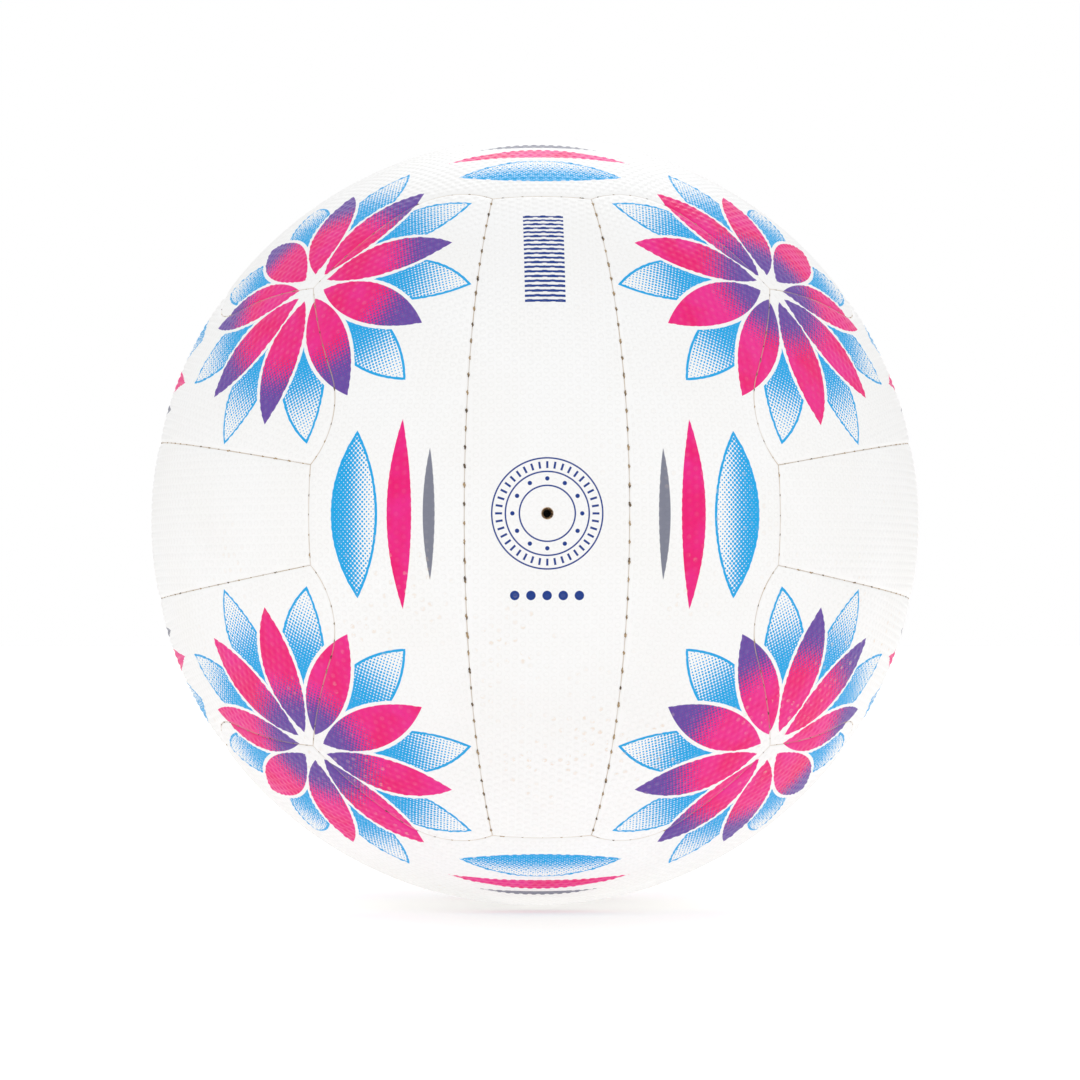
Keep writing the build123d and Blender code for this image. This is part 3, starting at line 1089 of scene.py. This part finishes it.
def round_dot(run, rise, radius):
    return printed(distance(run, rise) - radius)


def bar(run, rise, half_length, half_width):
    return printed(largest(abs(run) - half_length, abs(rise) - half_width))


def from_nearest(value, pitch, first, last):
    """Distance of a value from the nearest of a row of copies, numbered from first to last."""
    copy = round(value / pitch).calc("MAXIMUM", first).calc("MINIMUM", last)
    return value - copy * pitch


# %% Valve marks group


def valve_marks_group():
    _, given, finish = new_group("valve marks", ("Place",), ("Ink", "Radius"))
    x, y, z = split(given["Place"])
    radius = distance(x, z)
    angle = z.calc("ARCTAN2", x)

    def spokes(count, ring):
        folded = fold_round(angle, count)
        return radius * folded.calc("COSINE") - ring, radius * folded.calc("SINE")

    climb = z.calc("ARCTAN2", y * -1.0) * BALL_RADIUS - FIRST_BAR
    row_dot = from_nearest(x, ROW_DOT_PITCH, -(ROW_DOTS // 2), ROW_DOTS // 2)
    masks = [printed(abs(radius - ring) - RING_HALF_WIDTH) for ring in DIAL_RINGS]
    masks.append(bar(*spokes(TICKS, TICK_RING), TICK_HALF_LENGTH, TICK_HALF_WIDTH))
    masks.append(round_dot(*spokes(DOTS, DOT_RING), DOT_RADIUS))
    masks.append(round_dot(row_dot, z + ROW_DOT_DROP, ROW_DOT_RADIUS))
    masks.append(bar(x, from_nearest(climb, BAR_PITCH, 0, BARS - 1), BAR_HALF_LENGTH, BAR_HALF_WIDTH))
    return finish(Ink=largest(*masks), Radius=radius)


valve_marks = valve_marks_group()

# %% [markdown]
# ## Long leaves beside the strip ends
# Beside each end of a middle strip, the outer strip that runs past it carries three long leaves. They
# are the leaf of the flower again, stretched along the strip, and the distance across them comes from
# the angle to the middle of the strip's face. The leaf at the seam is dotted like the back petals, and
# the other two are solid. They are drawn three times with the coordinates changed round, once for each
# pair of opposite faces.

# %% Long leaves group
DOTTED_LEAF = {"lean": math.radians(28.2), "length": 46 * MM, "half_width": 7.2 * MM}
DOTTED_FADE = (-7 * MM, 7 * MM, 0.1, 1.3)
SOLID_LEAF = {"lean": math.radians(21.2), "length": 52 * MM, "half_width": 3.6 * MM}
SMALL_LEAF = {"lean": math.radians(16.8), "length": 36 * MM, "half_width": 1.7 * MM}


def long_leaves_group():
    _, given, finish = new_group("long leaves", ("Place",), ("Dotted", "Solid", "Small"))
    x, y, z = split(given["Place"])
    face_pairs = ((x, y, z), (y, z, x), (z, x, y))

    def long_leaf(run, across, out, lean, length, half_width):
        """Distance to a leaf on the strips of the faces that look along out, and to its spine."""
        rise = (abs(across).calc("ARCTAN2", abs(out)) - lean) * BALL_RADIUS
        return leaf_gap(run, rise, length, half_width), rise

    def dotted(run, across, out):
        gap, rise = long_leaf(run, across, out, **DOTTED_LEAF)
        return with_outline(halftone_dots(rise, run, fade(rise, *DOTTED_FADE)), gap)

    def solid(shape):
        return largest(*(printed(long_leaf(*places, **shape)[0]) for places in face_pairs))

    dotted_leaves = largest(*(dotted(*places) for places in face_pairs))
    return finish(Dotted=dotted_leaves, Solid=solid(SOLID_LEAF), Small=solid(SMALL_LEAF))


long_leaves = long_leaves_group()

# %% [markdown]
# ## White grip rubber
# All the panels are the same white rubber, and only the ink on them differs. So one function builds the
# material: the colour with its ink, then the worn tops of the pimples with their painted highlight, the
# painted shade round their feet, their dust and the grime of the seams over it, and a satin surface whose
# shine follows the grain. Ink lies a little smoother than bare rubber.

# %% Start and feed a material


def new_material(name):
    material = bpy.data.materials.new(name)
    material.use_nodes = True
    return material, material.node_tree, material.node_tree.nodes["Principled BSDF"]


def bump(height, strength, depth):
    sockets = {"Height": height, "Strength": strength, "Distance": depth}
    return wire(height.tree, "ShaderNodeBump", sockets)


def feed(shader, sockets):
    for key, value in sockets.items():
        value.tree.links.new(value.socket, shader.inputs[key])


# %% Panel material
# Painted shade: multiplied into the colour round the foot of every pimple.
PAINTED_FOOT_SHADE = (0.965, 0.962, 0.957, 1)
DUST = (0.74, 0.56, 0.4, 1)
DUST_AMOUNT = 0.5
GRIME = (0.68, 0.58, 0.46, 1)
GRIME_REACH = 0.24 * MM
PANEL_ROUGHNESS = (0.42, 0.56)
PANEL_SPECULAR = 0.25
INK_SMOOTHNESS = 0.08
GRAIN_DEPTH = 0.05 * MM
GRAIN_STRENGTH = 0.25
# Near-white ink of the pimple tops: worn ink and a painted highlight.
WORN_INK_AND_HIGHLIGHT = (0.86, 0.8, 0.86, 1)


def grip_rubber(name, draw_ink):
    """White grip rubber. draw_ink adds a print and gives back its colour and its mask."""
    material, tree, shader = new_material(name)
    place = object_place(tree)
    colour, ink = draw_ink(place)
    pimple, number = point_value(tree, "pimple"), point_value(tree, "pimple_number")
    sockets = {"Place": place, "Pimple": pimple, "Number": number, "Ink": ink, "Amount": DUST_AMOUNT}
    dust = use_group(tree, pimple_dust_shade_and_highlight, sockets)
    sockets = {"Place": place, "Seam gap": point_value(tree, "seam_gap"), "Reach": GRIME_REACH}
    grime = use_group(tree, seam_grime, sockets)
    # Worn ink on the pimple tops, which is also a painted highlight.
    colour = mixed(dust["Worn"], colour, WORN_INK_AND_HIGHLIGHT)
    # Painted shade round the feet of the pimples.
    colour = mixed(dust["Foot"], colour, PAINTED_FOOT_SHADE, "MULTIPLY")
    colour = mixed(dust["Mask"], colour, DUST)
    colour = mixed(grime["Mask"], colour, GRIME)
    grain = use_group(tree, rubber_grain, {"Place": place})
    rough = fade(grain["Shine"], *NOISE_SPAN, *PANEL_ROUGHNESS) - ink * INK_SMOOTHNESS
    normal = bump(grain["Height"], GRAIN_STRENGTH, GRAIN_DEPTH)
    feed(shader, {"Base Color": colour, "Roughness": rough, "Normal": normal})
    shader.inputs["Specular IOR Level"].default_value = PANEL_SPECULAR
    return material


# %% [markdown]
# ## Three prints on the rubber
# The middle strips are bare, with a slow drift in their white that all the panels share. The outer
# strips have the flowers and the long leaves, in cyan first and then pink, purple and grey. The pink
# lies unevenly, and where it is thin it is more of a magenta. The valve strip has its navy marks, and
# round its hole the cut edge of the sheet shows the brown cloth and rubber under the white skin.

# %% White and its drift
WHITE = (0.9, 0.903, 0.905, 1)
OFF_WHITE = (0.892, 0.892, 0.889, 1)
WHITE_DRIFT = 25 * MM
DRIFT_SPAN = (0.35, 0.65)


def drift_group():
    _, given, finish = new_group("white drift", ("Place",), ("Mask",))
    return finish(Mask=fade(noise(given["Place"], WHITE_DRIFT), *DRIFT_SPAN))


white_drift = drift_group()


def bare(place):
    drift = use_group(place.tree, white_drift, {"Place": place})
    return mixed(drift["Mask"], WHITE, OFF_WHITE), 0.0


# %% Inks of the two prints
PINK = (0.81, 0.003, 0.16, 1)
THIN_PINK = (0.82, 0.018, 0.27, 1)
PINK_PATCH = 11 * MM
PURPLE = (0.122, 0.061, 0.342, 1)
CYAN = (0.004, 0.37, 0.77, 1)
NAVY = (0.002, 0.034, 0.23, 1)
GREY = (0.2, 0.21, 0.27, 1)
RIM_TAN = (0.6, 0.4, 0.22, 1)
RIM_BROWN = (0.09, 0.045, 0.02, 1)
RIM_FIBRE = 0.5 * MM
RIM_SPAN = (0.4, 0.6)


def flowers(place):
    flower = use_group(place.tree, flower_print, {"Place": place})
    leaves = use_group(place.tree, long_leaves, {"Place": place})
    pink = mixed(fade(noise(place, PINK_PATCH, detail=3.0), *NOISE_SPAN), PINK, THIN_PINK)
    cyan = largest(flower["Back"], leaves["Dotted"])
    colour = mixed(cyan, bare(place)[0], CYAN)
    colour = mixed(flower["Front"], colour, mixed(flower["Spread"], pink, PURPLE))
    colour = mixed(leaves["Small"], mixed(leaves["Solid"], colour, pink), GREY)
    return colour, largest(cyan, flower["Front"], leaves["Solid"], leaves["Small"])


def marks(place):
    drawn = use_group(place.tree, valve_marks, {"Place": place})
    colour = mixed(drawn["Ink"], bare(place)[0], NAVY)
    cut_edge = mixed(fade(noise(place, RIM_FIBRE, detail=3.0), *RIM_SPAN), RIM_BROWN, RIM_TAN)
    rim = fade(drawn["Radius"], VALVE_HOLE_RADIUS, VALVE_HOLE_RADIUS + VALVE_RIM, 1.0, 0.0)
    return mixed(rim, colour, cut_edge), drawn["Ink"]


# %% Panel materials
panel_materials = {
    "middle": grip_rubber("white grip rubber", bare),
    "outer": grip_rubber("printed grip rubber", flowers),
    "valve": grip_rubber("valve strip rubber", marks),
}
for panel, kind in panels:
    panel.data.materials.append(panel_materials[kind])
print("panel materials:", ", ".join(material.name for material in panel_materials.values()))

# %% [markdown]
# ## Waxed thread
# The thread is tan where it arches up. It is soiled in loose patches, and towards the feet of each
# stitch, where it dives under the panels, it is darker as painted shade. A second material at the feet of
# the stitches would leave a hard line. Instead each point of a stitch carries its share of the way from
# the top of the arch to its foot, which is all that the painted shade needs. Fine noise gives the fibres.

# %% Thread material
THREAD_LIGHT = (0.42, 0.3, 0.17, 1)
THREAD_SOIL_AND_SHADE = (0.08, 0.052, 0.03, 1)
THREAD_SOIL = 3.0 * MM
THREAD_FIBRE = 0.12 * MM
SOIL_SPAN = (0.42, 0.62)
THREAD_FOOT_SHADE_SPAN = (0.3, 0.9)
THREAD_ROUGHNESS = (0.55, 0.75)
FIBRE_STRENGTH = 0.4


def waxed_thread():
    material, tree, shader = new_material("waxed thread")
    place = object_place(tree)
    soil = fade(noise(place, THREAD_SOIL, detail=3.0), *SOIL_SPAN)
    # Dark where the noise soils the thread, and painted shade towards the feet of each stitch.
    dark = largest(soil, fade(point_value(tree, "stitch_share"), *THREAD_FOOT_SHADE_SPAN))
    fibres = noise(place, THREAD_FIBRE)
    rough = fade(fibres, *NOISE_SPAN, *THREAD_ROUGHNESS)
    colour = mixed(dark, THREAD_LIGHT, THREAD_SOIL_AND_SHADE)
    normal = bump(fibres, FIBRE_STRENGTH, GRAIN_DEPTH)
    feed(shader, {"Base Color": colour, "Roughness": rough, "Normal": normal})
    return material


thread = waxed_thread()
for run in runs:
    run.data.materials.append(thread)
print("thread on", len(runs), "runs")

# %% [markdown]
# ## Cloth and black rubber inside
# The linings are plain woven cloth, and the bladder and the valve are black rubber. They are seen only
# when the ball is taken apart, and the solids already have their shapes, so the solids stay and get
# materials in their slots. The weave is three crossed waves, and the rubber has the grain of the
# panels.

# %% Cloth and rubber
CLOTH_LIGHT = (0.78, 0.73, 0.63, 1)
CLOTH_DARK = (0.5, 0.45, 0.37, 1)
YARN_PITCH = 0.9 * MM
YARN_DEPTH = 0.1 * MM
YARN_STRENGTH = 0.5
CLOTH_ROUGHNESS = (0.95, 0.8)
BUTYL_DARK, BUTYL_LIGHT = (0.012, 0.012, 0.013, 1), (0.03, 0.03, 0.032, 1)
VALVE_DARK, VALVE_LIGHT = (0.01, 0.008, 0.007, 1), (0.03, 0.025, 0.02, 1)
BUTYL_ROUGHNESS = (0.52, 0.68)
VALVE_ROUGHNESS = (0.42, 0.58)
BLACK_STRENGTH = 0.3


def lining_cloth():
    material, tree, shader = new_material("lining cloth")
    waves = [(value * (2 * math.pi / YARN_PITCH)).calc("SINE") for value in split(object_place(tree))]
    yarn = fade((waves[0] + waves[1]) * waves[2], -1.0, 1.0)
    colour, rough = mixed(yarn, CLOTH_DARK, CLOTH_LIGHT), fade(yarn, 0.0, 1.0, *CLOTH_ROUGHNESS)
    normal = bump(yarn, YARN_STRENGTH, YARN_DEPTH)
    feed(shader, {"Base Color": colour, "Roughness": rough, "Normal": normal})
    return material


def black_rubber(name, dark, light, roughness):
    material, tree, shader = new_material(name)
    grain = use_group(tree, rubber_grain, {"Place": object_place(tree)})
    rough = fade(grain["Shine"], *NOISE_SPAN, *roughness)
    colour = mixed(grain["Shine"], dark, light)
    normal = bump(grain["Height"], BLACK_STRENGTH, GRAIN_DEPTH)
    feed(shader, {"Base Color": colour, "Roughness": rough, "Normal": normal})
    return material


inside_materials = {
    "lining": lining_cloth(),
    "bladder": black_rubber("bladder butyl", BUTYL_DARK, BUTYL_LIGHT, BUTYL_ROUGHNESS),
    "valve": black_rubber("valve rubber", VALVE_DARK, VALVE_LIGHT, VALVE_ROUGHNESS),
}
kept = [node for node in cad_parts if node.split("_")[0] in inside_materials]
for node in kept:
    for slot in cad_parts[node].material_slots:
        slot.material = inside_materials[node.split("_")[0]]
print(len(kept), "solids kept, with", len(inside_materials), "materials")

# %% [markdown]
# ## Floor and backdrop
# The ball stands on a white sweep. A floor that is bright enough to look white would also flood the
# ball with light, so the floor and the world are lifted to white only for the rays that show them. The
# floor itself is a warm grey. In an ellipse round the foot of the ball it is lifted less, which lets the
# ball's own shadow show and paints a soft warm shadow there as well, darker towards the ball.

# %% Floor
FLOOR_SIZE = 60.0
FLOOR_GREY = (0.455, 0.44, 0.42, 1)
FLOOR_GLOW = 0.72
LIFT_NEAR, LIFT_FAR = 0.45, 0.76
SHADOW_HALF_WIDTH, SHADOW_HALF_DEPTH = 0.1, 0.32
SHADOW_CORE = 0.1
FLOOR_ROUGHNESS = 0.9


def shown_rays(tree):
    """A mask that is 1 for the rays that show a surface, straight or in a reflection."""
    rays = add_node(tree, "ShaderNodeLightPath", {}).outputs
    kinds = ("Camera", "Glossy", "Transmission")
    return largest(*(Wire(tree, rays[f"Is {kind} Ray"]) for kind in kinds))


bpy.ops.mesh.primitive_plane_add(size=FLOOR_SIZE, location=(0, 0, cad_low.z - PIMPLE_HEIGHT))
floor = bpy.context.object
floor.name = "floor"
floor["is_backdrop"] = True
material, tree, shader = new_material("white sweep")
x, y, _ = split(object_place(tree))
# Painted shadow: inside this ellipse round the ball the floor is lifted less, so it shows darker there.
away = distance(x / SHADOW_HALF_WIDTH, y / SHADOW_HALF_DEPTH)
lift = fade(away, SHADOW_CORE, 1.0, LIFT_NEAR, LIFT_FAR)
feed(shader, {"Emission Strength": fade(shown_rays(tree), 0.0, 1.0, FLOOR_GLOW, lift)})
shader.inputs["Base Color"].default_value = FLOOR_GREY
shader.inputs["Roughness"].default_value = FLOOR_ROUGHNESS
shader.inputs["Emission Color"].default_value = (1, 1, 1, 1)
floor.data.materials.append(material)
print(f"floor at {floor.location.z / MM:.2f} mm")

# %% World
WORLD_LIGHT = 0.68

world = bpy.data.worlds.new("studio")
bpy.context.scene.world = world
world.use_nodes = True
background = world.node_tree.nodes["Background"]
feed(background, {"Strength": fade(shown_rays(world.node_tree), 0.0, 1.0, WORLD_LIGHT, 1.0)})
background.inputs["Color"].default_value = (1, 1, 1, 1)
print(f"world gives {WORLD_LIGHT} of white as light, and shows as white")

# %% [markdown]
# ## Lamps
# Studio light for a white ball has to be soft and almost even, or half of the ball turns grey. A small
# key from the upper left in front gives each pimple a lit and a shaded side. Large lamps on both sides
# and behind fill the rest. Together they light a colour about as it is written.

# %% Key, fills and back light
LAMPS = {
    "key": ((-0.5, -1.2, 1.5), 0.45, 7.4),
    "right fill": ((1.4, -0.4, 0.8), 1.2, 3.3),
    "left fill": ((-1.4, -0.2, 0.7), 1.2, 0.6),
    "back": ((0.1, 1.2, 1.4), 1.0, 8.0),
}
for name, (place, size, power) in LAMPS.items():
    lamp = bpy.data.lights.new(name, "AREA")
    lamp.size, lamp.energy = size, power
    holder = bpy.data.objects.new(name, lamp)
    holder.location = place
    holder.rotation_euler = (-Vector(place)).to_track_quat("-Z", "Y").to_euler()
    bpy.context.scene.collection.objects.link(holder)
    print(f"{name}: {power} W, {size} m wide")

# %% [markdown]
# ## Camera
# The ball is seen through a long lens from just below the height of its middle, a little to the left of
# the valve. The lens is known in pixels of a square picture, and the small pan and nod put the ball
# where the picture has it, so the camera needs no shift.

# %% Camera
FRAME_PIXELS = 1080
BALL_MIDDLE_PIXEL = (534.9, 521.5)
FOCAL_PIXELS = 5594.0
SENSOR_WIDTH = 36.0
CAMERA_WAY = Vector((-0.0304, -0.9993, -0.0200)).normalized()
CAMERA_DISTANCE = 14.64 * BALL_RADIUS

lens = bpy.data.cameras.new("camera")
lens.sensor_width = SENSOR_WIDTH
lens.lens = SENSOR_WIDTH * FOCAL_PIXELS / FRAME_PIXELS
camera = bpy.data.objects.new("camera", lens)
camera.location = CAMERA_WAY * CAMERA_DISTANCE
look = (-CAMERA_WAY).to_track_quat("-Z", "Y").to_matrix()
pan, nod = (math.atan((pixel - FRAME_PIXELS / 2) / FOCAL_PIXELS) for pixel in BALL_MIDDLE_PIXEL)
aim = look @ Matrix.Rotation(pan, 3, "Y") @ Matrix.Rotation(nod, 3, "X")
camera.rotation_euler = aim.to_euler()
bpy.context.scene.collection.objects.link(camera)
bpy.context.scene.camera = camera
bpy.context.scene.view_settings.view_transform = "Standard"
print(f"camera {CAMERA_DISTANCE:.2f} m away, lens {lens.lens:.0f} mm")

# %% [markdown]
# ## The size of the dressed ball
# The dressed ball has to be as large as its solids, apart from the pimples that stand proud. The
# difference between the two boxes is printed, so that it can be read off.

# %% Compare and finish
low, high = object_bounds()
growth = (high - low) - (cad_high - cad_low)
print("the dressed ball is larger by", [f"{value / MM:.2f} mm" for value in growth])
